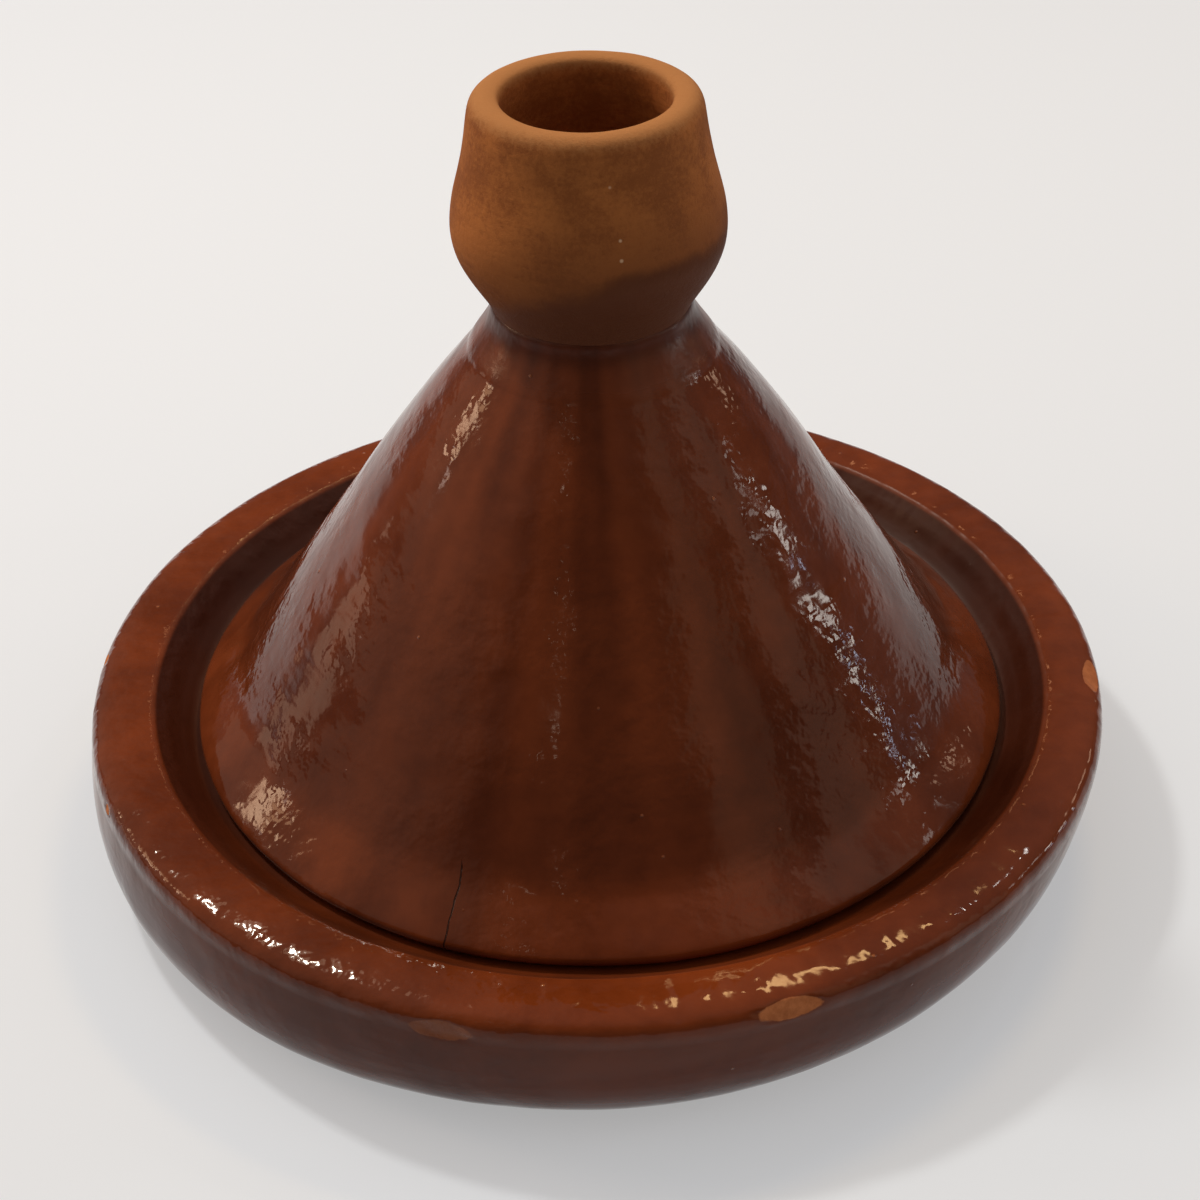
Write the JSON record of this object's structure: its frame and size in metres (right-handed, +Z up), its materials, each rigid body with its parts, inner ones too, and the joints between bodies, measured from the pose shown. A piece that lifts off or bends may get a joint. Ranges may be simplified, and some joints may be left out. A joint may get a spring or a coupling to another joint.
{
  "type": "tagine",
  "caption": "Shallow round earthenware cooking dish with a thick rim and a conical lid that stands inside the rim and lifts off by a hollow cup-shaped knob.",
  "frame": {"origin": "centre of the dish's flat foot, on the surface that the tagine stands on", "axes": "+Z up along the axis that all the pieces are thrown about; X and Y are free, because every piece is round"},
  "size_m": [0.272, 0.272, 0.2035],
  "materials": {
    "dish_glaze": "gloss",
    "lid_glaze": "gloss",
    "bare_clay": "matte"
  },
  "bodies": {
    "dish": {"dish": "dish_glaze"},
    "lid": {"lid_cone": "lid_glaze", "lid_knob": "bare_clay"}
  },
  "joints": [
    {"name": "lid_lift", "type": "slide", "parent": "dish", "child": "lid", "axis": [0, 0, 1], "range_m": [0, 0.12]}
  ]
}
